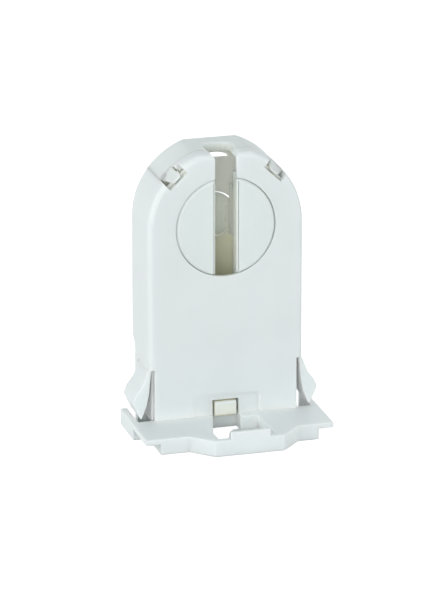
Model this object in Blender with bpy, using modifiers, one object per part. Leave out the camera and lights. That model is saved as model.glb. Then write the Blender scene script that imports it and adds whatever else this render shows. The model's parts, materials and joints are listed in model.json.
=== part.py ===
"""Rotary end holder for a linear tube lamp with two pins, snapped into a sheet-metal cut-out.

Metres, +Z up, the lamp side faces -Y and +X is to its right. The origin is at the middle of the
bounding box's underside. Shapes are drawn from the rotor's centre on the front face, which the
empty lamp_axis marks: x to the right, y towards the back, z up.
"""

import math

import bmesh
import bpy
from mathutils import Matrix, Vector

# Driving dimensions

BODY_HALF_WIDTH = 0.0135
BODY_DEPTH = 0.0106
TOP_FLAT = 0.0008
WALL = 0.0010
FRONT_EDGE_RADIUS = 0.0010
AXIS_HEIGHT = 0.0361

FOOT_HEIGHT = 0.00284
BODY_LIFT = 0.0002
FOOT_PLATE = 0.00094
FOOT_HALF_WIDTH = 0.0164
FOOT_FRONT = 0.00855
FOOT_REAR = 0.0080
NOSE_FRONT = 0.0121
NOSE_LEFT = -0.0053
NOSE_RIGHT = 0.0067
SKIRT_HALF_WIDTH = 0.0138
SKIRT_WALL = 0.0011
SHOULDER_HALF_WIDTH = 0.01445
SHOULDER_Y = -0.0038
RIM_WIDTH = 0.0012
RIM_FRONT = -0.0005

PIN_RADIUS = 0.00118
PIN_SPACING = 0.0127
SLOT_HALF_WIDTH = 0.00187
SLOT_LEAD_IN = 0.0005
FUNNEL_HALF_WIDTH = 0.0027
FUNNEL_DEPTH = 0.0007

ROTOR_RADIUS = 0.00835
ROTOR_FLANGE = 0.00065
ROTOR_FLANGE_DEPTH = 0.0011
JOURNAL_RADIUS = 0.0037
CHAMBER_HALF_WIDTH = 0.0036
WEB_HALF_HEIGHT = 0.0015
WEB_THICKNESS = 0.0005

COVER_INSET = 0.0031
COVER_PLATE = 0.0010
COVER_RIM = 0.0010
BAND_Y = 0.0033
SIGHT_HALF_WIDTH = 0.0026
SIGHT_BOTTOM = 0.0098
BRIDGE_THICKNESS = 0.0018
BAND_GAP_HALF_WIDTH = 0.0025
BAND_GAP_CORNER = 0.0014

CLIP_ANGLE = math.radians(46.5)
CLIP_HALF_WIDTH = 0.0020
CLIP_WINDOW_DEPTH = 0.0018
CLIP_LEDGE = 0.0008
CLIP_HEAD_Y = 0.00035
CLIP_HEAD_DEPTH = 0.0013
CLIP_TAPER = 0.0010
CLIP_RAMP = 0.0011
CLIP_RAMP_LENGTH = 0.0026

WINDOW_HALF_WIDTH = 0.00227
WINDOW_RISE = 0.00266
HOOK_HALF_WIDTH = 0.0019
PANEL_RECESS = 0.00025
PANEL_RECESS_HALF_WIDTH = 0.0059
PANEL_CORNER = 0.0010

BARB_RISE = 0.0090
BARB_WIDTH = 0.0064
BARB_REACH = 0.0027
BARB_ROOT = 0.0005
BARB_TIP = 0.0009
REAR_STEP = 0.0015
REAR_STEP_RISE = 0.0108

HOLE_LEFT = -0.00445
HOLE_LEFT_Y = -0.0075
HOLE_NARROW = -0.0028
POCKET_LEFT = 0.0021
POCKET_RIGHT = 0.0052
POCKET_Y = -0.0014
POCKET_FLOOR = 0.0005
LIP_LEFT = -0.0026
LIP_RIGHT = 0.0043
LIP_RISE = 0.0013
LIP_THICKNESS = 0.0006

STRIP_THICKNESS = 0.0004
STRIP_LEAD = 0.0012
CLAMP_BEND = 0.0010
CLAMP_LENGTH = 0.0060
WIRE_RADIUS = 0.0010
PARTITION = 0.0010

GAP = 0.0003
CUT = 0.0010
OVERLAP = 0.0004
ARC_STEP = math.radians(5)

# Sizes that follow from them

BODY_TOP = BODY_HALF_WIDTH - TOP_FLAT
COVER_Y = BODY_DEPTH - COVER_INSET
FOOT_TOP = FOOT_HEIGHT - AXIS_HEIGHT
FOOT_BOTTOM = -AXIS_HEIGHT
PLATE_BOTTOM = FOOT_TOP - FOOT_PLATE
WINDOW_TOP = FOOT_TOP + WINDOW_RISE
BARB_TOP = FOOT_TOP + BARB_RISE
REAR_STEP_Z = FOOT_TOP + REAR_STEP_RISE
FACE_Y = (NOSE_FRONT - BODY_DEPTH) / 2
AXIS_POINT = Vector((0, FACE_Y, AXIS_HEIGHT))
INNER_HALF_WIDTH = BODY_HALF_WIDTH - WALL
ROTOR_SEAT = ROTOR_RADIUS + GAP
FLANGE_RADIUS = ROTOR_SEAT + ROTOR_FLANGE
FLANGE_Y = WALL + GAP
DRUM_RADIUS = PIN_SPACING / 2 + PIN_RADIUS * 0.3
DRUM_END = COVER_Y - GAP
CONTACT_INSIDE = PIN_SPACING / 2 + PIN_RADIUS - STRIP_THICKNESS
PANEL_EDGE = INNER_HALF_WIDTH - GAP / 3

WHITE_PLASTIC = ("white_plastic", (0.86, 0.88, 0.87), 0.42, 0.0)
ROTOR_PLASTIC = ("rotor_plastic", (0.85, 0.875, 0.86), 0.45, 0.0)
BRONZE = ("spring_bronze", (0.72, 0.47, 0.24), 0.32, 1.0)


def remove_everything():
    for obj in list(bpy.data.objects):
        bpy.data.objects.remove(obj, do_unlink=True)


def new_collection(name):
    collection = bpy.data.collections.new(name)
    bpy.context.scene.collection.children.link(collection)
    return collection


def make_material(recipe):
    name, colour, roughness, metallic = recipe
    material = bpy.data.materials.new(name)
    material.use_nodes = True
    shader = material.node_tree.nodes["Principled BSDF"]
    shader.inputs["Base Color"].default_value = (*colour, 1.0)
    shader.inputs["Roughness"].default_value = roughness
    shader.inputs["Metallic"].default_value = metallic
    return material


# Outlines

def arc(centre, radius, start, end):
    """Points of an arc, with both ends, about one every five degrees."""
    count = max(2, math.ceil(abs(end - start) / ARC_STEP))
    angles = [start + (end - start) * i / count for i in range(count + 1)]
    return [(centre[0] + radius * math.cos(a), centre[1] + radius * math.sin(a)) for a in angles]


def mirrored(right_half):
    """A closed outline from its right half, read from the bottom or the front."""
    return right_half + [(-x, v) for x, v in reversed(right_half)]


def body_outline(inset, bottom):
    """The arched front outline: straight sides, an arch round the rotor's centre and a flat top."""
    radius = BODY_HALF_WIDTH - inset
    top = BODY_TOP - inset
    return mirrored([(radius, bottom)] + arc((0, 0), radius, 0, math.asin(top / radius)))


def wall_strip(path, thickness):
    """The outline of a wall that follows a path, with its thickness on the path's left."""
    inner = []
    for i, here in enumerate(path):
        runs = [Vector(path[j + 1]) - Vector(path[j]) for j in (i - 1, i) if 0 <= j < len(path) - 1]
        normals = [Vector((-run.y, run.x)).normalized() for run in runs]
        middle = sum(normals, Vector((0, 0))).normalized()
        inner.append(tuple(Vector(here) + middle * thickness / middle.dot(normals[0])))
    return path + inner[::-1]


def nose_path():
    """The nose's front, seen from above, from deep in the plate on one side to the other."""
    reach = NOSE_FRONT - FOOT_FRONT + OVERLAP
    depth = OVERLAP - FOOT_FRONT
    return [(NOSE_LEFT - reach, depth), (NOSE_LEFT, -NOSE_FRONT), (NOSE_RIGHT, -NOSE_FRONT),
            (NOSE_RIGHT + reach, depth)]


def skirt_path(nose):
    """The right side of the skirt, seen from above, from the nose round the end rim to the rear."""
    return [
        (nose + NOSE_FRONT - FOOT_FRONT - OVERLAP, -FOOT_FRONT),
        (SKIRT_HALF_WIDTH, -FOOT_FRONT),
        (SKIRT_HALF_WIDTH, SHOULDER_Y),
        (SHOULDER_HALF_WIDTH, SHOULDER_Y),
        (SHOULDER_HALF_WIDTH, RIM_FRONT),
        (FOOT_HALF_WIDTH, RIM_FRONT),
        (FOOT_HALF_WIDTH, FOOT_REAR),
        (-OVERLAP, FOOT_REAR),
    ]


# Solids

FRONT_VIEW = Matrix(((1, 0, 0, 0), (0, 0, -1, 0), (0, 1, 0, 0), (0, 0, 0, 1)))
PLAN_VIEW = Matrix.Identity(4)
SIDE_VIEW = Matrix(((0, 0, 1, 0), (1, 0, 0, 0), (0, 1, 0, 0), (0, 0, 0, 1)))
ALONG = {"front": (FRONT_VIEW, Vector((0, 1, 0))), "plan": (PLAN_VIEW, Vector((0, 0, 1))),
         "side": (SIDE_VIEW, Vector((1, 0, 0)))}


def place(obj, collection):
    """Hangs an object on the lamp axis, so that its mesh is measured from the rotor's centre."""
    collection.objects.link(obj)
    obj.parent = bpy.data.objects["lamp_axis"]
    return obj


def flat_solid(name, collection, view, outlines, start, end, turned=None):
    """A flat outline, drawn in the front, plan or side view, given its thickness from start to end.

    The matrix turned, if there is one, turns the solid about the lamp axis afterwards."""
    curve = bpy.data.curves.new(name, "CURVE")
    curve.dimensions = "2D"
    curve.fill_mode = "BOTH"
    curve.extrude = (end - start) / 2
    for points in outlines:
        spline = curve.splines.new("POLY")
        spline.points.add(len(points) - 1)
        for point, (u, v) in zip(spline.points, points):
            point.co = (u, v, 0, 1)
        spline.use_cyclic_u = True
    drawing = bpy.data.objects.new(name + "_drawing", curve)
    bpy.context.scene.collection.objects.link(drawing)
    turn, along = ALONG[view]
    drawing.matrix_world = Matrix.Translation(along * (start + end) / 2) @ turn
    bpy.context.view_layer.update()
    graph = bpy.context.evaluated_depsgraph_get()
    mesh = bpy.data.meshes.new_from_object(drawing.evaluated_get(graph))
    mesh.transform((turned or Matrix.Identity(4)) @ drawing.matrix_world)
    mesh.name = name
    bpy.data.objects.remove(drawing)
    clean(mesh)
    return place(bpy.data.objects.new(name, mesh), collection)


def clean(mesh):
    """Welds the caps to the sides and turns all faces outwards.

    Points are rounded to a ten-thousandth of a millimetre, so that faces meant to be level are."""
    bm = bmesh.new()
    bm.from_mesh(mesh)
    for vert in bm.verts:
        vert.co = [round(value, 7) for value in vert.co]
    bmesh.ops.remove_doubles(bm, verts=bm.verts, dist=1e-7)
    bmesh.ops.recalc_face_normals(bm, faces=bm.faces)
    bm.to_mesh(mesh)
    bm.free()


def box(name, collection, low, high, turn=None):
    """A box between two corners, turned about the lamp axis if a matrix is given."""
    low, high = Vector(low), Vector(high)
    matrix = Matrix.Translation((low + high) / 2) @ Matrix.Diagonal((*(high - low), 1))
    bm = bmesh.new()
    bmesh.ops.create_cube(bm, size=1, matrix=(turn or Matrix.Identity(4)) @ matrix)
    mesh = bpy.data.meshes.new(name)
    bm.to_mesh(mesh)
    bm.free()
    clean(mesh)
    return place(bpy.data.objects.new(name, mesh), collection)


def rod(name, collection, radius, centre, start, end, axis="y", segments=64):
    """A cylinder along y or z, from start to end."""
    bm = bmesh.new()
    bmesh.ops.create_cone(bm, cap_ends=True, segments=segments, radius1=radius, radius2=radius,
                          depth=end - start)
    mesh = bpy.data.meshes.new(name)
    bm.to_mesh(mesh)
    bm.free()
    middle = (start + end) / 2
    if axis == "y":
        lying = Matrix.Rotation(math.pi / 2, 4, "X")
        mesh.transform(Matrix.Translation((centre[0], middle, centre[1])) @ lying)
    else:
        mesh.transform(Matrix.Translation((centre[0], centre[1], middle)))
    clean(mesh)
    return place(bpy.data.objects.new(name, mesh), collection)


def boolean(obj, other, operation):
    modifier = obj.modifiers.new(other.name, "BOOLEAN")
    modifier.operation = operation
    modifier.solver = "EXACT"
    modifier.object = other


def cut(obj, *cutters):
    for cutter in cutters:
        boolean(obj, cutter, "DIFFERENCE")


def join(obj, *others):
    for other in others:
        boolean(obj, other, "UNION")


def round_front_edge(obj, lowest):
    """Rounds the edges of the front face, made one whole face first, except the one at the bottom."""
    mesh = obj.data
    bm = bmesh.new()
    bm.from_mesh(mesh)
    bmesh.ops.dissolve_limit(bm, angle_limit=math.radians(0.2), verts=bm.verts, edges=bm.edges)
    bm.to_mesh(mesh)
    bm.free()
    weight = mesh.attributes.new("bevel_weight_edge", "FLOAT", "EDGE")
    for edge in mesh.edges:
        ends = [mesh.vertices[i].co for i in edge.vertices]
        in_front = all(abs(end.y) < 1e-6 for end in ends)
        low = all(end.z < lowest + 1e-6 for end in ends)
        weight.data[edge.index].value = float(in_front and not low)
    bevel = obj.modifiers.new("front_edge", "BEVEL")
    bevel.limit_method = "WEIGHT"
    bevel.width = FRONT_EDGE_RADIUS
    bevel.segments = 4
    bevel.harden_normals = False


def finish(obj, material):
    """Gives a piece its material and shades it smooth, with its flat faces kept flat to the eye."""
    obj.data.materials.clear()
    obj.data.materials.append(material)
    obj.data.shade_smooth()
    obj.data.set_sharp_from_angle(angle=math.radians(25))
    shading = obj.modifiers.new("shading", "WEIGHTED_NORMAL")
    shading.keep_sharp = True


def clip_turn(side):
    """Turns +x to the radial direction through a clip window; +z then points to the arch's top."""
    turned = Matrix.Rotation(-CLIP_ANGLE, 4, "Y")
    return turned if side > 0 else Matrix.Diagonal((-1, 1, 1, 1)) @ turned


# Front housing

def barb(side, helpers):
    """A snap tongue that hangs in the side wall's opening, with its shoulder over the foot plate."""
    root = BARB_TOP + 2 * GAP
    catch = FOOT_TOP + OVERLAP
    length = BARB_TOP - catch
    tip = BODY_HALF_WIDTH + BARB_REACH
    inside = INNER_HALF_WIDTH + BARB_ROOT
    profile = [
        (INNER_HALF_WIDTH + GAP, root),
        (inside, BARB_TOP - GAP),
        (inside + BARB_TIP * 0.4, BARB_TOP - length * 0.49),
        (inside + BARB_TIP * 0.9, BARB_TOP - length * 0.73),
        (inside + BARB_TIP * 1.7, catch + OVERLAP),
        (inside + BARB_TIP * 2, catch),
        (tip, BARB_TOP - length * 0.65),
        (tip - BARB_REACH * 0.2, BARB_TOP - length * 0.49),
        (tip - BARB_REACH * 0.6, BARB_TOP - length * 0.33),
        (BODY_HALF_WIDTH - GAP, root),
    ]
    outline = [(side * x, z) for x, z in profile]
    return flat_solid(f"barb_{side}", helpers, "front", [outline], GAP, GAP + BARB_WIDTH)


def front_housing(parts, helpers):
    """The face, its arch and side walls, the barbs, the floor and the foot, moulded in one piece."""
    under = FOOT_BOTTOM - CUT
    low = FOOT_BOTTOM + BODY_LIFT
    housing = flat_solid("front_housing", parts, "front", [body_outline(0, low)], 0, BODY_DEPTH)
    round_front_edge(housing, low)
    cut(housing, flat_solid("cavity", helpers, "front", [body_outline(WALL, under)], WALL, BODY_DEPTH + CUT))
    cut(housing, rear_step(helpers), panel_recess(helpers))
    join(housing, *foot_solids(helpers))
    join(housing, *partitions(helpers))
    cut(housing, rod("rotor_seat", helpers, ROTOR_SEAT, (0, 0), -CUT, WALL + CUT, segments=96))
    cut(housing, top_slot(helpers))
    cut(housing, arch_relief(helpers))
    for side in (1, -1):
        cut(housing, *clip_window(side, helpers))
        cut(housing, barb_opening(side, helpers), *rim_openings(side, helpers))
        join(housing, barb(side, helpers))
        for row in (-1, 1):
            centre = (side * wire_x(), wire_y(row))
            cut(housing, rod(f"wire_entry_{side}_{row}", helpers, WIRE_RADIUS, centre, under, FOOT_TOP + CUT,
                             axis="z", segments=24))
    cut(housing, window(helpers), foot_hole(helpers), foot_pocket(helpers))
    return housing


def rear_step(helpers):
    """The side walls are less deep below the step, which runs down at 45 degrees."""
    low_y = BODY_DEPTH - REAR_STEP
    under = FOOT_BOTTOM - CUT
    outline = [(low_y, under), (BODY_DEPTH + CUT, under), (BODY_DEPTH + CUT, REAR_STEP_Z + REAR_STEP + CUT),
               (low_y, REAR_STEP_Z)]
    return flat_solid("rear_step", helpers, "side", [outline], -BODY_HALF_WIDTH - CUT, BODY_HALF_WIDTH + CUT)


def foot_solids(helpers):
    """The plate, the skirt below it, the tub for the pocket and the raised lip at the nose."""
    middle = PLATE_BOTTOM + FOOT_PLATE / 2
    right = wall_strip(skirt_path(NOSE_RIGHT), SKIRT_WALL)
    left = [(-x, y) for x, y in wall_strip(skirt_path(-NOSE_LEFT), SKIRT_WALL)]
    nose_wall = SKIRT_WALL - NOSE_FRONT
    return [
        box("foot_plate", helpers, (-FOOT_HALF_WIDTH, -FOOT_FRONT, PLATE_BOTTOM),
            (FOOT_HALF_WIDTH, FOOT_REAR, FOOT_TOP)),
        flat_solid("nose_plate", helpers, "plan", [nose_path()], PLATE_BOTTOM, FOOT_TOP),
        flat_solid("nose_skirt", helpers, "plan", [wall_strip(nose_path(), SKIRT_WALL)], FOOT_BOTTOM, middle),
        flat_solid("skirt_right", helpers, "plan", [right], FOOT_BOTTOM, middle),
        flat_solid("skirt_left", helpers, "plan", [left], FOOT_BOTTOM, middle),
        box("hook_pocket", helpers, (-WINDOW_HALF_WIDTH - WALL, WALL / 2, FOOT_BOTTOM),
            (WINDOW_HALF_WIDTH + WALL, hook_wall_y() + SKIRT_WALL, middle)),
        box("pocket_tub", helpers, (HOLE_LEFT - SKIRT_WALL, nose_wall - OVERLAP, FOOT_BOTTOM),
            (POCKET_RIGHT + SKIRT_WALL, WALL / 2, middle)),
        box("foot_lip", helpers, (LIP_LEFT, -NOSE_FRONT, middle),
            (LIP_RIGHT, LIP_THICKNESS - NOSE_FRONT, FOOT_TOP + LIP_RISE)),
    ]


def hook_wall_y():
    """The wall behind which the cover's bottom hook catches."""
    return WALL + 2 * GAP


def partitions(helpers):
    """The two inner walls that part the contact chambers from the middle."""
    inner = partition_x()
    return [box(f"partition_{side}", helpers,
                (min(side * inner, side * (inner + PARTITION)), WALL / 2, FOOT_TOP - FOOT_PLATE / 2),
                (max(side * inner, side * (inner + PARTITION)), DRUM_END, -FLANGE_RADIUS - 4 * GAP))
            for side in (1, -1)]


def partition_x():
    return WINDOW_HALF_WIDTH + WALL + 3 * GAP


def wire_x():
    return partition_x() + PARTITION + WIRE_RADIUS + GAP / 2


def wire_y(row):
    return (WALL + GAP + COVER_Y) / 2 + row * (WIRE_RADIUS + GAP)


def top_slot(helpers):
    """The way in for the lamp's pins: a funnel through the arch and a slot down to the rotor."""
    outline = mirrored([
        (SLOT_HALF_WIDTH, ROTOR_SEAT - CUT),
        (SLOT_HALF_WIDTH, BODY_TOP - FUNNEL_DEPTH),
        (FUNNEL_HALF_WIDTH, BODY_TOP + GAP),
        (FUNNEL_HALF_WIDTH, BODY_HALF_WIDTH + CUT),
    ])
    return flat_solid("top_slot", helpers, "front", [outline], -CUT, BAND_Y + CUT)


def clip_side_line(offset, radius):
    """A point beside the clip window's middle line, offset towards the arch's top."""
    direction = Vector((math.cos(CLIP_ANGLE), math.sin(CLIP_ANGLE)))
    across = Vector((-math.sin(CLIP_ANGLE), math.cos(CLIP_ANGLE)))
    return tuple(direction * radius + across * offset)


def arch_sector(offset):
    """The part of the arch between the two clip windows, down to a line beside each."""
    return mirrored([
        clip_side_line(offset, ROTOR_SEAT),
        clip_side_line(offset, BODY_HALF_WIDTH + 2 * CUT),
        (BODY_HALF_WIDTH / 2, BODY_HALF_WIDTH + 3 * CUT),
    ])


def arch_relief(helpers):
    """Behind its first part the arch belongs to the cover's band."""
    return flat_solid("arch_relief", helpers, "front", [arch_sector(-CLIP_HALF_WIDTH)], BAND_Y,
                      BODY_DEPTH + CUT)


def clip_window(side, helpers):
    """A window open to the outside, narrower behind, which leaves a ledge for the clip's head."""
    turn = clip_turn(side)
    inner = BODY_HALF_WIDTH - CLIP_WINDOW_DEPTH
    outer = BODY_HALF_WIDTH + 2 * CUT
    ledge_y = CLIP_HEAD_Y + CLIP_HEAD_DEPTH + GAP
    wide = box(f"clip_window_{side}", helpers, (inner, -CUT, -CLIP_HALF_WIDTH),
               (outer, ledge_y, CLIP_HALF_WIDTH), turn)
    narrow = box(f"clip_way_{side}", helpers, (inner - CUT, ledge_y - GAP, -CLIP_HALF_WIDTH),
                 (outer, BAND_Y + CUT, CLIP_HALF_WIDTH - CLIP_LEDGE), turn)
    return [wide, narrow]


def barb_opening(side, helpers):
    ends = sorted((side * PANEL_EDGE, side * (BODY_HALF_WIDTH + CUT)))
    return box(f"barb_opening_{side}", helpers, (ends[0], -CUT, FOOT_TOP),
               (ends[1], 2 * GAP + BARB_WIDTH, BARB_TOP))


def rim_openings(side, helpers):
    """The opening in the foot below each barb, and the gap behind it, which leave the end rim free."""
    under = FOOT_BOTTOM - CUT
    front = WALL - GAP
    rim = side * (FOOT_HALF_WIDTH - RIM_WIDTH)
    below = sorted((side * PANEL_EDGE, rim))
    beside = sorted((side * BODY_HALF_WIDTH, rim))
    return [
        box(f"rim_opening_{side}", helpers, (below[0], front, under),
            (below[1], 2 * GAP + BARB_WIDTH, FOOT_TOP + GAP)),
        box(f"rim_gap_{side}", helpers, (beside[0], front, under),
            (beside[1], BODY_DEPTH + CUT, FOOT_TOP + GAP)),
    ]


def window(helpers):
    return box("window", helpers, (-WINDOW_HALF_WIDTH, -CUT, FOOT_BOTTOM - CUT),
               (WINDOW_HALF_WIDTH, hook_wall_y(), WINDOW_TOP))


def panel_recess(helpers):
    """A shallow recess round the window, with rounded upper corners."""
    top = WINDOW_TOP + WALL
    half = PANEL_RECESS_HALF_WIDTH
    rounding = arc((half - PANEL_CORNER, top - PANEL_CORNER), PANEL_CORNER, 0, math.pi / 2)
    outline = mirrored([(half, FOOT_BOTTOM - CUT)] + rounding)
    return flat_solid("panel_recess", helpers, "front", [outline], -CUT, PANEL_RECESS)


def foot_hole(helpers):
    """The hole through the foot in front of the window, narrower towards the nose's wall."""
    nose_wall = SKIRT_WALL - NOSE_FRONT
    outline = [(-WINDOW_HALF_WIDTH, PANEL_RECESS), (HOLE_LEFT, HOLE_LEFT_Y), (HOLE_LEFT, nose_wall),
               (HOLE_NARROW, nose_wall), (0, POCKET_Y * 3 / 2), (POCKET_LEFT, PANEL_RECESS)]
    return flat_solid("foot_hole", helpers, "plan", [outline], FOOT_BOTTOM - CUT, FOOT_TOP + CUT)


def foot_pocket(helpers):
    """The pocket beside the hole, which has a floor and ends at the nose's wall."""
    front = SKIRT_WALL - NOSE_FRONT + OVERLAP / 4
    outline = [(-CUT, PANEL_RECESS / 2), (HOLE_NARROW - CUT / 2, front), (POCKET_RIGHT, front),
               (POCKET_RIGHT, POCKET_Y), (POCKET_LEFT, POCKET_Y), (POCKET_LEFT, PANEL_RECESS / 2)]
    return flat_solid("foot_pocket", helpers, "plan", [outline], FOOT_BOTTOM + POCKET_FLOOR, FOOT_TOP + CUT)


# Back cover

def back_cover(parts, helpers):
    """A shallow tray inside the housing's walls, whose curved band closes the top of the arch."""
    inset = WALL + GAP
    low = FOOT_TOP + GAP
    plate_end = COVER_Y + COVER_PLATE
    cover = flat_solid("back_cover", parts, "front", [body_outline(inset, low)], COVER_Y, plate_end)
    rim = flat_solid("cover_rim", helpers, "front",
                     [body_outline(inset, low), body_outline(inset + COVER_RIM, low + COVER_RIM)],
                     plate_end - COVER_PLATE / 2, BODY_DEPTH - GAP)
    cut(rim, cover_rim_step(helpers))
    join(cover, rim, band(helpers))
    join(cover, *[clip(side, helpers) for side in (1, -1)])
    join(cover, bottom_hook(helpers))
    cut(cover, rod("journal_hole", helpers, JOURNAL_RADIUS + GAP, (0, 0), COVER_Y - CUT, plate_end + CUT))
    cut(cover, sight_hole(helpers), band_gap(helpers))
    return cover


def cover_rim_step(helpers):
    """Below the housing's step the cover's rim is lower too."""
    low_y = BODY_DEPTH - REAR_STEP - GAP
    outline = [(low_y, FOOT_BOTTOM), (BODY_DEPTH + CUT, FOOT_BOTTOM),
               (BODY_DEPTH + CUT, REAR_STEP_Z + REAR_STEP + CUT), (low_y, REAR_STEP_Z)]
    return flat_solid("cover_rim_step", helpers, "side", [outline], -BODY_HALF_WIDTH, BODY_HALF_WIDTH)


def band(helpers):
    """The arch's rear part, as thick as the housing's wall and flush with it."""
    outlines = [body_outline(0, -4 * CUT), body_outline(WALL + 2 * GAP, -CUT)]
    ring = flat_solid("band", helpers, "front", outlines, BAND_Y + GAP, BODY_DEPTH)
    sector = flat_solid("band_sector", helpers, "front", [arch_sector(GAP - CLIP_HALF_WIDTH)], 0,
                        BODY_DEPTH + CUT)
    boolean(ring, sector, "INTERSECT")
    return ring


def clip(side, helpers):
    """A clip at the band's end: its arm passes the ledge and its wedge-shaped head catches behind it."""
    turn = clip_turn(side)
    outside = BODY_HALF_WIDTH - GAP / 3
    inner = BODY_HALF_WIDTH - CLIP_WINDOW_DEPTH + GAP
    arm_end = CLIP_HALF_WIDTH - CLIP_LEDGE - GAP
    head_end = CLIP_HEAD_Y + CLIP_HEAD_DEPTH
    outline = [(BAND_Y + CUT, -CLIP_HALF_WIDTH), (CLIP_HEAD_Y, -CLIP_HALF_WIDTH),
               (CLIP_HEAD_Y, CLIP_HALF_WIDTH), (head_end, CLIP_HALF_WIDTH), (head_end, arm_end),
               (BAND_Y + CUT, arm_end)]
    body = flat_solid(f"clip_{side}", helpers, "side", [outline], inner, outside, turn)
    boolean(body, clip_wedge(side, helpers, inner, outside), "INTERSECT")
    cut(body, clip_ramp(side, helpers, outside))
    return body


def clip_wedge(side, helpers, inner, outside):
    """The head and the arm grow narrower towards the lamp axis."""
    slope = CLIP_TAPER / (outside - inner)
    half = CLIP_HALF_WIDTH - GAP
    ends = [(inner - CUT, CLIP_TAPER - half + slope * CUT), (outside + CUT, -half - slope * CUT)]
    ends += [(radius, -across) for radius, across in reversed(ends)]
    points = [clip_side_line(across, radius) for radius, across in ends]
    outline = [(side * x, z) for x, z in points]
    return flat_solid(f"clip_wedge_{side}", helpers, "front", [outline], -CUT, BAND_Y + 2 * CUT)


def clip_ramp(side, helpers, outside):
    """What the head lacks in front of its ramp, which starts inside and ends flush with the arch."""
    before = CLIP_RAMP + CLIP_RAMP * CUT / CLIP_RAMP_LENGTH
    past = CLIP_RAMP_LENGTH + CLIP_RAMP_LENGTH * CUT / CLIP_RAMP
    outline = [(outside - before, CLIP_HEAD_Y - CUT), (outside + CUT, CLIP_HEAD_Y - CUT),
               (outside + CUT, CLIP_HEAD_Y + past)]
    return flat_solid(f"clip_ramp_{side}", helpers, "plan", [outline], -CLIP_HALF_WIDTH - CUT,
                      CLIP_HALF_WIDTH + CUT, clip_turn(side))


def bottom_hook(helpers):
    """A springy arm along the floor; its nose fills the window and catches behind the floor's edge."""
    arm_top = WINDOW_TOP - GAP
    arm_low = FOOT_TOP + 2 * GAP
    nose = GAP / 2
    nose_end = hook_wall_y() - GAP
    outline = [(COVER_Y + COVER_PLATE / 2, arm_top), (nose + GAP, arm_top), (nose, arm_top - GAP),
               (nose, FOOT_TOP), (nose_end - GAP, FOOT_TOP - 2 * GAP), (nose_end, FOOT_TOP - 2 * GAP),
               (nose_end, arm_low), (COVER_Y + COVER_PLATE / 2, arm_low)]
    return flat_solid("bottom_hook", helpers, "side", [outline], -HOOK_HALF_WIDTH, HOOK_HALF_WIDTH)


def sight_hole(helpers):
    """The rounded hole between the plate's upper edge and the bridge over it."""
    top = BODY_TOP - BRIDGE_THICKNESS
    rise = top - SIGHT_BOTTOM
    angles = [i * math.pi / 16 for i in range(17)]
    outline = [(SIGHT_HALF_WIDTH * math.cos(a), SIGHT_BOTTOM + rise * math.sin(a)) for a in angles]
    return flat_solid("sight_hole", helpers, "front", [outline], DRUM_END - CUT, BODY_DEPTH + CUT)


def band_gap(helpers):
    """The band is open over the pins' way, up to the bridge at its rear, with rounded rear corners."""
    half = BAND_GAP_HALF_WIDTH
    centre = (half - BAND_GAP_CORNER, DRUM_END - BAND_GAP_CORNER)
    outline = mirrored([(half, 0)] + arc(centre, BAND_GAP_CORNER, 0, math.pi / 2))
    return flat_solid("band_gap", helpers, "plan", [outline], ROTOR_SEAT, BODY_TOP + CUT)


# Rotor

def rotor(parts, helpers):
    """A turned disc, flange, drum and journal, split by the slot that takes both pins."""
    chamfer = GAP / 2
    profile = [
        (0, 0),
        (ROTOR_RADIUS - chamfer, 0),
        (ROTOR_RADIUS, chamfer),
        (ROTOR_RADIUS, FLANGE_Y),
        (FLANGE_RADIUS, FLANGE_Y),
        (FLANGE_RADIUS, FLANGE_Y + ROTOR_FLANGE_DEPTH),
        (DRUM_RADIUS, FLANGE_Y + ROTOR_FLANGE_DEPTH),
        (DRUM_RADIUS, DRUM_END),
        (JOURNAL_RADIUS, DRUM_END),
        (JOURNAL_RADIUS, COVER_Y + COVER_PLATE),
        (0, COVER_Y + COVER_PLATE),
    ]
    mesh = bpy.data.meshes.new("rotor")
    points = [(radius, 0, -depth) for radius, depth in profile]
    mesh.from_pydata(points, [(i, i + 1) for i in range(len(points) - 1)], [])
    obj = place(bpy.data.objects.new("rotor", mesh), parts)
    obj.rotation_euler = (math.pi / 2, 0, 0)
    screw = obj.modifiers.new("turn", "SCREW")
    screw.axis = "Z"
    screw.angle = 2 * math.pi
    screw.steps = 96
    screw.render_steps = 96
    screw.use_merge_vertices = True
    screw.merge_threshold = 1e-6
    screw.use_normal_calculate = False
    cut(obj, pin_channel(helpers), *rotor_chamber(helpers))
    return obj


def pin_channel(helpers):
    """The slot across the rotor, wider at the face where the pins come in."""
    depth = DRUM_END + GAP
    lead = SLOT_HALF_WIDTH + SLOT_LEAD_IN
    outline = mirrored([(lead, -CUT), (lead, 0), (SLOT_HALF_WIDTH, SLOT_LEAD_IN), (SLOT_HALF_WIDTH, depth)])
    reach = FLANGE_RADIUS + CUT
    return flat_solid("pin_channel", helpers, "plan", [outline], -reach, reach)


def rotor_chamber(helpers):
    """The wider room behind the flange; two webs in it carry the journal."""
    start = FLANGE_Y + ROTOR_FLANGE_DEPTH + GAP / 3
    half = CHAMBER_HALF_WIDTH
    web = WEB_HALF_HEIGHT
    reach = FLANGE_RADIUS + CUT
    return [
        box("upper_chamber", helpers, (-half, start, web), (half, DRUM_END + GAP, reach)),
        box("lower_chamber", helpers, (-half, start, -reach), (half, DRUM_END + GAP, -web)),
        box("middle_chamber", helpers, (-half, start, -web - CUT),
            (half, DRUM_END - WEB_THICKNESS, web + CUT)),
    ]


# Contacts

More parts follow.
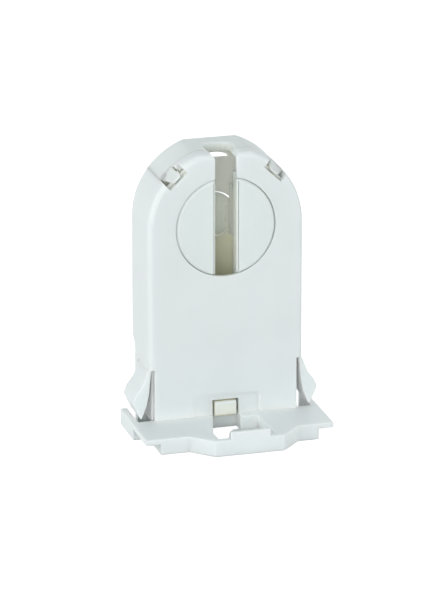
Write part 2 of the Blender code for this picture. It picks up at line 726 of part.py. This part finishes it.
def contact_path(side):
    """The strip's middle line: a leaf beside the rotor, a leg on the side wall and a wire clamp."""
    half = STRIP_THICKNESS / 2
    leaf = CONTACT_INSIDE + half
    leg = INNER_HALF_WIDTH - GAP - half
    foot = BARB_TOP + 3 * GAP
    clamp = partition_x() + PARTITION + GAP + half
    right = [
        (leaf + STRIP_LEAD, 3 * STRIP_LEAD),
        (leaf + STRIP_LEAD / 4, 2 * STRIP_LEAD),
        (leaf, STRIP_LEAD),
        (leaf, -STRIP_LEAD),
        (leaf + STRIP_LEAD / 2, -ROTOR_RADIUS / 2),
        ((leaf + leg) / 2, 2 * STRIP_LEAD - FLANGE_RADIUS),
        (leg - STRIP_LEAD / 2, -FLANGE_RADIUS),
        (leg, -FLANGE_RADIUS - 2 * STRIP_LEAD),
        (leg, foot + CLAMP_BEND),
        (leg - CLAMP_BEND, foot),
        (clamp + 3 * CLAMP_BEND, foot),
        (clamp + 2 * CLAMP_BEND, foot + CLAMP_BEND),
        (clamp, foot + CLAMP_LENGTH),
    ]
    return [(side * x, z) for x, z in right]


def contact(name, side, parts):
    """Thin bronze strip bent along its path, of one width, made as a ribbon with thickness."""
    front = FLANGE_Y + ROTOR_FLANGE_DEPTH + GAP
    mesh = bpy.data.meshes.new(name)
    bm = bmesh.new()
    rows = [[bm.verts.new((x, y, z)) for y in (front, DRUM_END)] for x, z in contact_path(side)]
    for here, after in zip(rows, rows[1:]):
        bm.faces.new((here[0], here[1], after[1], after[0]))
    bm.to_mesh(mesh)
    bm.free()
    obj = place(bpy.data.objects.new(name, mesh), parts)
    solid = obj.modifiers.new("thickness", "SOLIDIFY")
    solid.thickness = STRIP_THICKNESS
    solid.offset = 0
    solid.use_even_offset = True
    return obj


def main():
    remove_everything()
    parts = new_collection("tube_lamp_holder")
    helpers = new_collection("cutters")
    helpers.hide_render = True
    axis = bpy.data.objects.new("lamp_axis", None)
    axis.empty_display_size = ROTOR_RADIUS
    axis.location = AXIS_POINT
    parts.objects.link(axis)

    white = make_material(WHITE_PLASTIC)
    bronze = make_material(BRONZE)
    finish(front_housing(parts, helpers), white)
    finish(back_cover(parts, helpers), white)
    finish(rotor(parts, helpers), make_material(ROTOR_PLASTIC))
    finish(contact("contact_left", -1, parts), bronze)
    finish(contact("contact_right", 1, parts), bronze)
    for helper in helpers.objects:
        helper.hide_render = True
        helper.display_type = "WIRE"


main()
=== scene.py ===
"""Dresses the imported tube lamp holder: softened mouldings, plastics, springs and a stage."""

import json
import math

import bmesh
import bpy
from bpy.props import FloatProperty, FloatVectorProperty, IntProperty, PointerProperty
from bpy.types import NodeSocket, Operator, Panel, PropertyGroup
from mathutils import Matrix, Vector


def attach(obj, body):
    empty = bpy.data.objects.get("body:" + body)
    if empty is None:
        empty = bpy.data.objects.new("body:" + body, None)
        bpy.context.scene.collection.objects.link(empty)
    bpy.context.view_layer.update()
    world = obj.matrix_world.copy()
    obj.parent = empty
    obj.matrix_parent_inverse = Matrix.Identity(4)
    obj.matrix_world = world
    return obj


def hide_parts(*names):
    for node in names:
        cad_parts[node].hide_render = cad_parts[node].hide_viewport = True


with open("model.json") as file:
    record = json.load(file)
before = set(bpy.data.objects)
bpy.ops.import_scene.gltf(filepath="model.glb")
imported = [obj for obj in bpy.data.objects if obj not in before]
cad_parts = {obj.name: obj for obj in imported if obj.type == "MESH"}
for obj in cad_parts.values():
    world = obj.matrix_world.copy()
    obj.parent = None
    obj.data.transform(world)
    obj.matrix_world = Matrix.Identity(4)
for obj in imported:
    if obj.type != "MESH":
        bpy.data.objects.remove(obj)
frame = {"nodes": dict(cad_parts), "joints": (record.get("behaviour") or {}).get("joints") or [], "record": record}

bl_info = {
    "name": "Tube lamp holder",
    "version": (1, 0, 0),
    "blender": (4, 5, 0),
    "location": "3D View > Sidebar > Lamp holder",
    "description": "Builds the visible pieces of a rotary end holder for a tube lamp",
    "category": "Object",
}

MM = 0.001

# From the frame: where the lamp's axis meets the holder's face, and each node's body.
AXIS = Vector(frame["joints"][0]["pos_m"])
BODY_OF = {node: body for body, nodes in frame["record"]["behaviour"]["bodies"].items()
           for node in nodes}

# Places in the solids, measured from AXIS, by which their points are found again.
SLACK = 0.02 * MM
ARCH_INSIDE = 11.5 * MM
BAND_FRONT = 3.6 * MM
BARB_ROOT = -24.26 * MM
CLIP_ANGLE = math.radians(46.5)
BAND_END = -1.7 * MM
CLIP_WINDOW_EDGE = -2.0 * MM
RAMP_END = ((12.9, 2.5, -2.1), (14.5, 4.5, -1.3))
SLOT_HALF_WIDTH = 1.87 * MM
LEAD_IN = 0.5 * MM
DISC_RADIUS = 8.35 * MM
DISC_RIM = (0.1 * MM, 1.35 * MM)
WEB_FRONT = 6.7 * MM

# How the copies are cleaned and rounded. An edge whose direction has a cosine above IN_LINE with
# another's carries it on. Room is in widths of the rounding, and FINER is the rounding of the cover
# and the rotor as a share of the housing's.
JOIN_DISTANCE = 0.002 * MM
LEVEL_ANGLE = math.radians(0.5)
SHARP_ANGLE = math.radians(30)
SHADED_SHARP_ANGLE = math.radians(40)
IN_LINE = 0.85
ROOM_BESIDE_ROUNDED = 2.3
ROOM_BESIDE_PLAIN = 1.2
FINER = 0.8
SPRING_ROUNDING = 0.08 * MM

# How the rotor's copy differs: the share of the lead-in that is left, and how far the webs go back.
LEAD_IN_LEFT = 0.35
WEB_SETBACK = 0.45 * MM

# Thin backing plates, each from corner to corner in millimetres from AXIS: across, deep and up.
# The clips' own plates are turned with their clip: out from the axis, deep and along the arch.
SIDE_PANEL = ((12.2, 1.05, -33.4), (12.75, 6.95, -24.3))
SLOT_LINER = ((1.88, 2.49, -2.6), (2.15, 4.9, 6.2))
CLIP_BACKING = (
    ((11.2, 1.12, -2.4), (12.24, 1.5, 2.4)),
    ((12.0, 2.6, -1.96), (13.2, 3.4, -0.6)),
    ((12.3, 1.66, 1.33), (13.2, 1.94, 1.97)),
)

# Patterns and colours in the materials. The slot's painted light changes colour between two heights from AXIS.
FLOW_SCALE = 90.0
FLOW_SPREAD = (0.3, 0.7)
FLOW_DARKEST = 0.97
FLOW_POLISH = 0.05
GRAIN_SCALE = 5200.0
GRAIN_STRENGTH = 0.12
GRAIN_HEIGHT = 0.02 * MM
PAINTED_LIGHT_HEIGHTS = (-4.5 * MM, -1.5 * MM)
TARNISH_SCALE = 260.0
TARNISHED_BRONZE = (0.60, 0.37, 0.17, 1)
BRIGHT_BRONZE = (0.78, 0.53, 0.28, 1)

# The stage. LOOK_AT is measured from AXIS. A lamp is its name, place, size in metres and watts.
LOOK_AT = Vector((-1.741, -3.236, -10.715)) * MM
FRAME_HEIGHT = 36.0
FLOOR_REACH = 3.0
FLOOR_GLOW = 0.70
SKY_COLOUR = (0.95, 0.99, 1.0, 1)
SKY_STRENGTH = 0.57
LAMP_TARGET = Vector((0, 0, AXIS.z * 0.7))
LAMPS = (
    ("key_lamp", (-0.50, -0.95, 0.22), 0.60, 4.6),
    ("side_lamp", (-0.97, -0.10, 0.26), 0.60, 2.75),
    ("fill_lamp", (0.80, -0.60, 0.22), 0.80, 2.65),
)


# Settings

class PlasticSettings(PropertyGroup):
    """Colours and finish of the moulded white plastics."""

    housing_colour: FloatVectorProperty(
        name="Housing colour", description="Colour of the open faces of the front housing",
        subtype="COLOR", size=3, min=0, max=1, default=(0.79, 0.84, 0.84))
    cover_colour: FloatVectorProperty(
        name="Cover colour", description="Colour of the back cover, its clips and its hook",
        subtype="COLOR", size=3, min=0, max=1, default=(0.77, 0.83, 0.81))
    rotor_colour: FloatVectorProperty(
        name="Rotor colour", description="Colour of the turning disc and its journal",
        subtype="COLOR", size=3, min=0, max=1, default=(0.775, 0.835, 0.815))
    # Painted light: a paler colour put in the housing's hollows, standing in for light that comes through the
    # translucent plastic and bounces inside.
    painted_hollow_light: FloatVectorProperty(
        name="Hollow colour", description="Paler colour deep in the corners of the housing",
        subtype="COLOR", size=3, min=0, max=1, default=(0.97, 0.985, 0.97))
    # Painted light: a paler, warmer colour deep in the slot and in the cover, standing in for light that comes
    # through the plastic and bounces in the slot.
    painted_slot_light: FloatVectorProperty(
        name="Slot colour", description="Paler, warmer colour deep in the slot and in the cover",
        subtype="COLOR", size=3, min=0, max=1, default=(0.99, 1.0, 0.87))
    # Painted light: the slot's lower end gets a warmer colour, standing in for warm light bounced off the bronze
    # springs beside it.
    painted_slot_low_light: FloatVectorProperty(
        name="Slot's lower colour", description="Colour at the slot's lower end, the warmest place",
        subtype="COLOR", size=3, min=0, max=1, default=(1.0, 0.945, 0.74))
    roughness: FloatProperty(
        name="Roughness", description="Roughness of the satin mould finish",
        min=0, max=1, default=0.44)
    translucency: FloatProperty(
        name="Translucency", description="Share of the light that wanders through the plastic",
        subtype="FACTOR", min=0, max=1, default=0.8)
    light_reach: FloatProperty(
        name="Light reach", description="How far light wanders inside the plastic",
        subtype="DISTANCE", unit="LENGTH", min=0, default=1.4 * MM)
    edge_radius: FloatProperty(
        name="Edge radius", description="Rounding of the mouldings' outer edges",
        subtype="DISTANCE", unit="LENGTH", min=0, default=0.15 * MM)
    rim_depth: FloatProperty(
        name="Rim depth", description="How far back the rotor disc's rim slopes",
        subtype="DISTANCE", unit="LENGTH", min=0.15 * MM, max=1 * MM, default=0.35 * MM)
    edge_segments: IntProperty(
        name="Edge segments", description="Facets across a rounded edge", min=1, max=6, default=2)
    seam_closing: FloatProperty(
        name="Seam closing", description="How far the cover's band comes towards the arch",
        subtype="DISTANCE", unit="LENGTH", min=0, max=0.3 * MM, default=0.3 * MM)
    disc_growth: FloatProperty(
        name="Disc growth", description="How far the rotor's disc comes towards its seat's rim",
        subtype="DISTANCE", unit="LENGTH", min=0, max=0.28 * MM, default=0.22 * MM)


class StageSettings(PropertyGroup):
    """Camera, lamps and floor."""

    azimuth: FloatProperty(
        name="Azimuth", description="How far round to the left of the front the camera stands",
        subtype="ANGLE", unit="ROTATION", default=math.radians(16.07))
    elevation: FloatProperty(
        name="Elevation", description="How far above the holder the camera stands, looking down",
        subtype="ANGLE", unit="ROTATION", default=math.radians(18.53))
    distance: FloatProperty(
        name="Distance", description="How far the camera stands from the place that it looks at",
        subtype="DISTANCE", unit="LENGTH", min=0.1, default=705.74 * MM)
    lens: FloatProperty(
        name="Lens", description="Focal length for a frame 36 mm high",
        subtype="DISTANCE_CAMERA", default=258.37)
    floor_colour: FloatVectorProperty(
        name="Floor colour", description="Colour of the plain floor",
        subtype="COLOR", size=3, min=0, max=1, default=(0.72, 0.72, 0.72))


# Node helpers

def feed(node, **values):
    """Sets a node's inputs and settings by name, and links an input whose value is an output."""
    for name, value in values.items():
        label = name.replace("_", " ")
        if label not in node.inputs:
            setattr(node, name, value)
        elif isinstance(value, NodeSocket):
            node.id_data.links.new(value, node.inputs[label])
        else:
            node.inputs[label].default_value = value


def add_node(tree, kind, **values):
    """Adds a shader node with its settings and inputs."""
    node = tree.nodes.new(kind)
    feed(node, **values)
    return node


def add_range(tree, source, low, high, to_low=0.0, to_high=1.0, interpolation="LINEAR"):
    """Turns an output's numbers between low and high into numbers between to_low and to_high."""
    node = add_node(tree, "ShaderNodeMapRange", interpolation_type=interpolation, Value=source,
                    From_Min=low, From_Max=high, To_Min=to_low, To_Max=to_high)
    return node.outputs["Result"]


def add_mix(tree, first, second, factor, blend="MIX"):
    """Mixes two colours, each a plain one or an output."""
    node = add_node(tree, "ShaderNodeMix", data_type="RGBA", blend_type=blend,
                    A=first, B=second, Factor=factor)
    return node.outputs["Result"]


# Materials

def new_material(name):
    """An empty Principled material, with its tree and shader."""
    material = bpy.data.materials.new(name)
    material.use_nodes = True
    tree = material.node_tree
    return material, tree, tree.nodes["Principled BSDF"]


def slot_painted_light(tree, place, low_colour, high_colour):
    """Painted light in the slot's inside: one colour well below the lamp's axis, and another above."""
    parts = add_node(tree, "ShaderNodeSeparateXYZ", Vector=place)
    lowest, highest = (AXIS.z + height for height in PAINTED_LIGHT_HEIGHTS)
    height = add_range(tree, parts.outputs["Z"], lowest, highest, interpolation="SMOOTHSTEP")
    return add_mix(tree, (*low_colour, 1), (*high_colour, 1), height)


def moulded_plastic(name, settings, colour, painted_hollow_light, low_colour=None,
                    reach=5 * MM, own_faces_only=True, openings=(0.25, 0.75)):
    """Satin plastic: faint flow marks, fine grain, and painted light in hollows: a paler, warmer colour that
    stands in for light coming through the translucent plastic and bouncing there.

    A hollow is a place with other faces within reach. It has its full painted light where the share of open
    directions is at most the first of the openings, and none of it from the second on.
    """
    material, tree, shader = new_material(name)
    place = add_node(tree, "ShaderNodeTexCoord").outputs["Object"]

    flow = add_node(tree, "ShaderNodeTexNoise", Vector=place, Scale=FLOW_SCALE, Detail=3.0,
                    Roughness=0.5)
    flow_shade = add_range(tree, flow.outputs["Fac"], *FLOW_SPREAD, to_low=FLOW_DARKEST)
    polish = add_range(tree, flow.outputs["Fac"], 0.0, 1.0,
                       settings.roughness - FLOW_POLISH, settings.roughness + FLOW_POLISH)

    # Painted light: where ambient occlusion finds other faces near, the colour turns to the paler hollow colour.
    hollow = add_node(tree, "ShaderNodeAmbientOcclusion", samples=8, only_local=own_faces_only,
                      Distance=reach)
    openness = add_range(tree, hollow.outputs["AO"], *openings, interpolation="SMOOTHSTEP")
    # The painted light's colour: the hollow colour, or the slot's painted light where the slot's colours are
    # given.
    inside = (*painted_hollow_light, 1)
    if low_colour:
        inside = slot_painted_light(tree, place, low_colour, painted_hollow_light)
    body = add_mix(tree, inside, (*colour, 1), openness)

    grain = add_node(tree, "ShaderNodeTexNoise", Vector=place, Scale=GRAIN_SCALE, Detail=2.0,
                     Roughness=0.6)
    relief = add_node(tree, "ShaderNodeBump", Height=grain.outputs["Fac"],
                      Strength=GRAIN_STRENGTH, Distance=GRAIN_HEIGHT)
    feed(shader, Base_Color=add_mix(tree, body, flow_shade, 1.0, "MULTIPLY"), Roughness=polish,
         Normal=relief.outputs["Normal"], Subsurface_Weight=settings.translucency,
         Subsurface_Radius=(1.0, 1.0, 1.0), Subsurface_Scale=settings.light_reach)
    return material


def spring_bronze():
    """Bright rolled strip with darker touches of tarnish."""
    material, tree, shader = new_material("spring_bronze")
    place = add_node(tree, "ShaderNodeTexCoord").outputs["Object"]
    tarnish = add_node(tree, "ShaderNodeTexNoise", Vector=place, Scale=TARNISH_SCALE, Detail=4.0)
    colour = add_mix(tree, TARNISHED_BRONZE, BRIGHT_BRONZE, tarnish.outputs["Fac"])
    feed(shader, Base_Color=colour, Metallic=1.0, Roughness=0.3)
    return material


# Mesh helpers

def merged_copy(node):
    """A bmesh of a CAD node's mesh, its points joined and its level triangles made whole faces."""
    bm = bmesh.new()
    bm.from_mesh(frame["nodes"][node].data)
    bmesh.ops.remove_doubles(bm, verts=bm.verts, dist=JOIN_DISTANCE)
    bmesh.ops.dissolve_limit(bm, angle_limit=LEVEL_ANGLE, verts=bm.verts, edges=bm.edges)
    return bm


def clip_directions(side):
    """The ways out from the lamp's axis through a clip, and along the arch towards its top."""
    return (Vector((side * math.cos(CLIP_ANGLE), 0, math.sin(CLIP_ANGLE))),
            Vector((-side * math.sin(CLIP_ANGLE), 0, math.cos(CLIP_ANGLE))))


def points_along(bm, side, along):
    """The points of the arch or the band that stand so far along it from a clip's middle."""
    radial, across = clip_directions(side)
    return [vert for vert in bm.verts
            if abs((vert.co - AXIS).dot(across) - along) < SLACK
            and (vert.co - AXIS).dot(radial) > ARCH_INSIDE]


def ramp_end_edges(bm, side):
    """The edges of the thin slivers where a clip's ramp runs out into the round band."""
    radial, across = clip_directions(side)
    found = set()
    for vert in bm.verts:
        arm = (vert.co - AXIS) / MM
        place = (arm.dot(radial), arm.y, arm.dot(across))
        if all(low < number < high for low, number, high in zip(RAMP_END[0], place, RAMP_END[1])):
            found.update(vert.link_edges)
    return found


def edges_between(verts):
    """The edges that have both of their ends among some points."""
    verts = set(verts)
    return {edge for vert in verts for edge in vert.link_edges if edge.other_vert(vert) in verts}


def is_sharp(edge):
    """True if the two faces beside an edge turn by more than the sharp angle."""
    return len(edge.link_faces) == 2 and edge.calc_face_angle(0.0) > SHARP_ANGLE


def has_room(edge, width):
    """True if the edges beside this one are long enough for it to be rounded."""
    for vert in edge.verts:
        along = (edge.other_vert(vert).co - vert.co).normalized()
        for other in vert.link_edges:
            if other is edge:
                continue
            far = other.other_vert(vert)
            run = far.co - vert.co
            cosine = abs(run.normalized().dot(along))
            if cosine > IN_LINE:
                continue
            beyond = [beyond_edge for beyond_edge in far.link_edges if beyond_edge is not other]
            beside_rounded = is_sharp(other) or any(is_sharp(beyond_edge) for beyond_edge in beyond)
            room = ROOM_BESIDE_ROUNDED if beside_rounded else ROOM_BESIDE_PLAIN
            if run.length * math.sqrt(1 - cosine * cosine) < width * room:
                return False
    return True


def soften(bm, width, segments, kept=()):
    """Rounds the sharp outer edges that have room for it, as a mould does, but no kept ones."""
    edges = [edge for edge in bm.edges
             if edge not in kept and is_sharp(edge) and edge.is_convex
             and edge.calc_length() > width and has_room(edge, width)]
    bmesh.ops.bevel(bm, geom=edges, offset=width, offset_type="OFFSET", segments=segments,
                    profile=0.5, affect="EDGES", clamp_overlap=False, material=-1)


def add_box(bm, corner, opposite, angle=0.0):
    """A box between two corners in millimetres from the lamp's axis, turned round that axis."""
    corner, opposite = Vector(corner) * MM, Vector(opposite) * MM
    turned = Matrix.Translation(AXIS) @ Matrix.Rotation(-angle, 4, "Y")
    middle = Matrix.Translation((corner + opposite) / 2)
    size = [abs(length) for length in opposite - corner]
    bmesh.ops.create_cube(bm, size=1, matrix=turned @ middle @ Matrix.Diagonal((*size, 1)))


def mirrored(corners, signs):
    """A box's two corners with the signs of their numbers changed."""
    return [[number * sign for number, sign in zip(corner, signs)] for corner in corners]


def reshape_rotor(bm, settings):
    """Narrows the slot's lead-in, grows and slopes the disc's rim, and sets the webs back."""
    for vert in bm.verts:
        x, depth, z = vert.co - AXIS
        inset = abs(x) - SLOT_HALF_WIDTH
        if min(inset, depth) > -SLACK and abs(inset + depth - LEAD_IN) < SLACK:
            vert.co.x = AXIS.x + math.copysign(SLOT_HALF_WIDTH + inset * LEAD_IN_LEFT, x)
            vert.co.y = AXIS.y + depth * LEAD_IN_LEFT
        elif DISC_RIM[0] < depth < DISC_RIM[1] and abs(math.hypot(x, z) - DISC_RADIUS) < SLACK:
            growth = 1 + settings.disc_growth / math.hypot(x, z)
            vert.co = AXIS + Vector((x * growth, max(depth, settings.rim_depth), z * growth))
        elif abs(depth - WEB_FRONT) < SLACK:
            vert.co.y += WEB_SETBACK


def face_number(face, count):
    """A face's own number in a mesh with so many points, from its first three points and its last."""
    places = sorted(vert.index for vert in face.verts)
    number = 0
    for place in (*places[:3], places[-1]):
        number = number * count + place
    return number


def finished(bm, name, node, material):
    """Makes the mesh an object that stands for a CAD node, with that node's body and finish.

    A bevel writes its faces in another order each run, so they are put in one order here.
    """
    bm.verts.index_update()
    bm.faces.sort(key=lambda face: face_number(face, len(bm.verts)))
    mesh = bpy.data.meshes.new(name)
    bm.to_mesh(mesh)
    bm.free()
    mesh.shade_smooth()
    mesh.set_sharp_from_angle(angle=SHADED_SHARP_ANGLE)
    mesh.materials.append(material)
    obj = bpy.data.objects.new(name, mesh)
    bpy.context.scene.collection.objects.link(obj)
    shading = obj.modifiers.new("level_faces", "WEIGHTED_NORMAL")
    shading.keep_sharp = True
    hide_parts(node)
    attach(obj, BODY_OF[node])


# Stage

def seen_directly(tree):
    """One for the rays that the camera and shiny or clear surfaces send out, nought for others."""
    rays = add_node(tree, "ShaderNodeLightPath")
    seen = rays.outputs["Is Camera Ray"]
    for kind in ("Is Glossy Ray", "Is Transmission Ray"):
        either = add_node(tree, "ShaderNodeMath", operation="MAXIMUM")
        tree.links.new(seen, either.inputs[0])
        tree.links.new(rays.outputs[kind], either.inputs[1])
        seen = either.outputs["Value"]
    return seen


def join_shaders(tree, kind, first, second, **values):
    """Adds a node that mixes or adds two shaders, which are its last two inputs."""
    node = add_node(tree, kind, **values)
    tree.links.new(first, node.inputs[-2])
    tree.links.new(second, node.inputs[-1])
    return node.outputs["Shader"]


def add_floor(settings):
    """A plain floor that takes the holder's shadow, and looks white to the camera elsewhere."""
    bm = bmesh.new()
    bmesh.ops.create_grid(bm, x_segments=1, y_segments=1, size=FLOOR_REACH)
    mesh = bpy.data.meshes.new("floor")
    bm.to_mesh(mesh)
    bm.free()
    floor = bpy.data.objects.new("floor", mesh)
    bpy.context.scene.collection.objects.link(floor)
    material, tree, shader = new_material("pale_floor")
    feed(shader, Base_Color=(*settings.floor_colour, 1), Roughness=0.9, Specular_IOR_Level=0.0)
    glow = add_node(tree, "ShaderNodeEmission", Color=(1, 1, 1, 1), Strength=FLOOR_GLOW)
    none = add_node(tree, "ShaderNodeEmission", Color=(0, 0, 0, 1), Strength=0.0)
    only_seen = join_shaders(tree, "ShaderNodeMixShader", none.outputs["Emission"],
                             glow.outputs["Emission"], Fac=seen_directly(tree))
    both = join_shaders(tree, "ShaderNodeAddShader", shader.outputs["BSDF"], only_seen)
    feed(tree.nodes["Material Output"], Surface=both)
    mesh.materials.append(material)


def add_surroundings(scene):
    """A soft pale sky that lights the holder, and plain white where the camera sees it."""
    world = bpy.data.worlds.new("surroundings")
    scene.world = world
    world.use_nodes = True
    tree = world.node_tree
    sky = tree.nodes["Background"]
    feed(sky, Color=SKY_COLOUR, Strength=SKY_STRENGTH)
    white = add_node(tree, "ShaderNodeBackground", Color=(1, 1, 1, 1), Strength=1.0)
    both = join_shaders(tree, "ShaderNodeMixShader", sky.outputs["Background"],
                        white.outputs["Background"], Fac=seen_directly(tree))
    feed(tree.nodes["World Output"], Surface=both)


def add_lamps():
    """Large square lamps, each turned towards the holder."""
    for name, place, size, power in LAMPS:
        light = bpy.data.lights.new(name, "AREA")
        light.shape = "SQUARE"
        light.size = size
        light.energy = power
        lamp = bpy.data.objects.new(name, light)
        bpy.context.scene.collection.objects.link(lamp)
        lamp.location = place
        lamp.rotation_euler = (LAMP_TARGET - Vector(place)).to_track_quat("-Z", "Y").to_euler()


def add_camera(scene, settings):
    """The camera stands round to the left and above, and looks down at the holder's middle."""
    level = math.cos(settings.elevation)
    forward = Vector((math.sin(settings.azimuth) * level, math.cos(settings.azimuth) * level,
                      -math.sin(settings.elevation)))
    data = bpy.data.cameras.new("photo_camera")
    data.lens = settings.lens
    data.sensor_width = FRAME_HEIGHT
    data.clip_start = 0.01
    data.clip_end = 20.0
    camera = bpy.data.objects.new("photo_camera", data)
    scene.collection.objects.link(camera)
    camera.location = AXIS + LOOK_AT - forward * settings.distance
    camera.rotation_euler = forward.to_track_quat("-Z", "Y").to_euler()
    scene.camera = camera


# Operators

class LAMPHOLDER_OT_housing(Operator):
    """Build the front housing with its softly rounded mouldings"""

    bl_idname = "lampholder.housing"
    bl_label = "Front housing"

    def execute(self, context):
        settings = context.scene.lampholder_plastic
        bm = merged_copy("front_housing")
        kept = edges_between([vert for vert in bm.verts
                              if abs(vert.co.z - AXIS.z - BARB_ROOT) < SLACK])
        for side in (1, -1):
            kept.update(edges_between(points_along(bm, side, CLIP_WINDOW_EDGE)))
        soften(bm, settings.edge_radius, settings.edge_segments, kept)
        for side in (1, -1):
            add_box(bm, *mirrored(SIDE_PANEL, (side, 1, 1)))
        finished(bm, "housing_shell", "front_housing",
                 moulded_plastic("housing_plastic", settings, settings.housing_colour,
                                 settings.painted_hollow_light))
        return {"FINISHED"}


class LAMPHOLDER_OT_cover(Operator):
    """Build the back cover, whose band closes tightly against the housing's arch"""

    bl_idname = "lampholder.cover"
    bl_label = "Back cover"

    def execute(self, context):
        settings = context.scene.lampholder_plastic
        bm = merged_copy("back_cover")
        kept = set()
        for side in (1, -1):
            end = points_along(bm, side, BAND_END)
            along = clip_directions(side)[1]
            bmesh.ops.translate(bm, verts=end, vec=along * -settings.seam_closing)
            kept.update(edges_between(end))
            kept.update(ramp_end_edges(bm, side))
        front = [vert for vert in bm.verts
                 if abs(vert.co.y - AXIS.y - BAND_FRONT) < SLACK
                 and (vert.co - AXIS).length > ARCH_INSIDE]
        bmesh.ops.translate(bm, verts=front, vec=(0, -settings.seam_closing, 0))
        soften(bm, settings.edge_radius * FINER, settings.edge_segments, kept)
        for side, angle in ((1, CLIP_ANGLE), (-1, math.pi - CLIP_ANGLE)):
            for corners in CLIP_BACKING:
                add_box(bm, *mirrored(corners, (1, 1, side)), angle)
        # The cover's hollows get painted light, paler and warmer, and warmer still low in the slot.
        finished(bm, "cover_shell", "back_cover",
                 moulded_plastic("cover_plastic", settings, settings.cover_colour,
                                 settings.painted_slot_light, settings.painted_slot_low_light,
                                 reach=12 * MM, own_faces_only=False, openings=(0.25, 0.7)))
        return {"FINISHED"}


class LAMPHOLDER_OT_rotor(Operator):
    """Build the slotted rotor, whose disc all but fills its seat in the housing's face"""

    bl_idname = "lampholder.rotor"
    bl_label = "Rotor"

    def execute(self, context):
        settings = context.scene.lampholder_plastic
        bm = merged_copy("rotor")
        reshape_rotor(bm, settings)
        soften(bm, settings.edge_radius * FINER, settings.edge_segments)
        for side in (1, -1):
            add_box(bm, *mirrored(SLOT_LINER, (side, 1, 1)))
        # The rotor's hollows get painted light, paler and warmer, and warmer still at the slot's lower end.
        finished(bm, "rotor_disc", "rotor",
                 moulded_plastic("rotor_plastic", settings, settings.rotor_colour,
                                 settings.painted_slot_light, settings.painted_slot_low_light,
                                 openings=(0.5, 0.95)))
        return {"FINISHED"}


class LAMPHOLDER_OT_contacts(Operator):
    """Build the two contact springs with rolled edges"""

    bl_idname = "lampholder.contacts"
    bl_label = "Contacts"

    def execute(self, context):
        bronze = spring_bronze()
        for side in ("left", "right"):
            bm = merged_copy(f"contact_{side}")
            soften(bm, SPRING_ROUNDING, segments=2)
            finished(bm, f"spring_{side}", f"contact_{side}", bronze)
        return {"FINISHED"}


class LAMPHOLDER_OT_stage(Operator):
    """Set up the floor, the soft lamps, the white surroundings and the camera"""

    bl_idname = "lampholder.stage"
    bl_label = "Stage"

    def execute(self, context):
        settings = context.scene.lampholder_stage
        add_floor(settings)
        add_surroundings(context.scene)
        add_lamps()
        add_camera(context.scene, settings)
        context.scene.view_settings.view_transform = "Standard"
        return {"FINISHED"}


# Panel

class LAMPHOLDER_PT_sidebar(Panel):
    """Lists the holder's settings and the operators that build it."""

    bl_idname = "LAMPHOLDER_PT_sidebar"
    bl_label = "Lamp holder"
    bl_space_type = "VIEW_3D"
    bl_region_type = "UI"
    bl_category = "Lamp holder"

    def draw(self, context):
        for settings, operators in (("lampholder_plastic", PIECE_OPERATORS),
                                    ("lampholder_stage", STAGE_OPERATORS)):
            box = self.layout.box()
            group = getattr(context.scene, settings)
            for name in group.bl_rna.properties.keys():
                if name not in {"rna_type", "name"}:
                    box.prop(group, name)
            for operator in operators:
                box.operator(operator.bl_idname)


PIECE_OPERATORS = (
    LAMPHOLDER_OT_housing,
    LAMPHOLDER_OT_cover,
    LAMPHOLDER_OT_rotor,
    LAMPHOLDER_OT_contacts,
)
STAGE_OPERATORS = (LAMPHOLDER_OT_stage,)
CLASSES = (
    PlasticSettings,
    StageSettings,
    *PIECE_OPERATORS,
    *STAGE_OPERATORS,
    LAMPHOLDER_PT_sidebar,
)


def register():
    """Makes Blender know the settings, the operators and the panel."""
    for cls in CLASSES:
        bpy.utils.register_class(cls)
    bpy.types.Scene.lampholder_plastic = PointerProperty(type=PlasticSettings)
    bpy.types.Scene.lampholder_stage = PointerProperty(type=StageSettings)


def unregister():
    """Takes the settings, the operators and the panel away again."""
    del bpy.types.Scene.lampholder_stage
    del bpy.types.Scene.lampholder_plastic
    for cls in reversed(CLASSES):
        bpy.utils.unregister_class(cls)


def main():
    """Builds every piece and the stage."""
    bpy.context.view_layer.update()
    register()
    bpy.ops.lampholder.housing()
    bpy.ops.lampholder.cover()
    bpy.ops.lampholder.rotor()
    bpy.ops.lampholder.contacts()
    bpy.ops.lampholder.stage()


if __name__ == "__main__":
    main()
